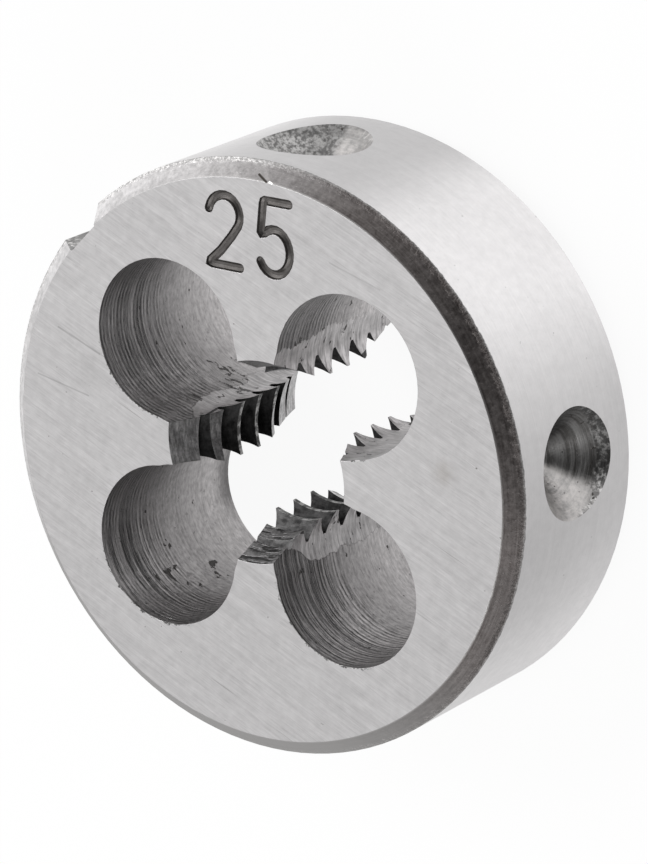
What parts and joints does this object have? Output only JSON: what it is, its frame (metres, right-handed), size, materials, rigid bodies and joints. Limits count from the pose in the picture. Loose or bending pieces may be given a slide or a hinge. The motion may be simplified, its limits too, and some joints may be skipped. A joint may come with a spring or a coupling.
{
  "type": "threading die",
  "caption": "Round threading die: a flat hardened steel disc with a threaded bore cut into lands by chip holes, a setting notch and countersunk screw dimples in the rim.",
  "frame": {"origin": "centre of the lower, unmarked face, on the axis of the thread and rim", "axes": "+Z along the thread's axis, out of the marked face; the four lands lie on the X and Y axes and the chip holes lie between them; the setting notch is at 137 degrees from +X"},
  "size_m": [0.025, 0.025, 0.009],
  "materials": {
    "ground_tool_steel": "ground faces and rim, drilled chip holes left as cut, dark thread flanks"
  },
  "bodies": {
    "root": {"die_body": "ground_tool_steel"}
  },
  "joints": []
}
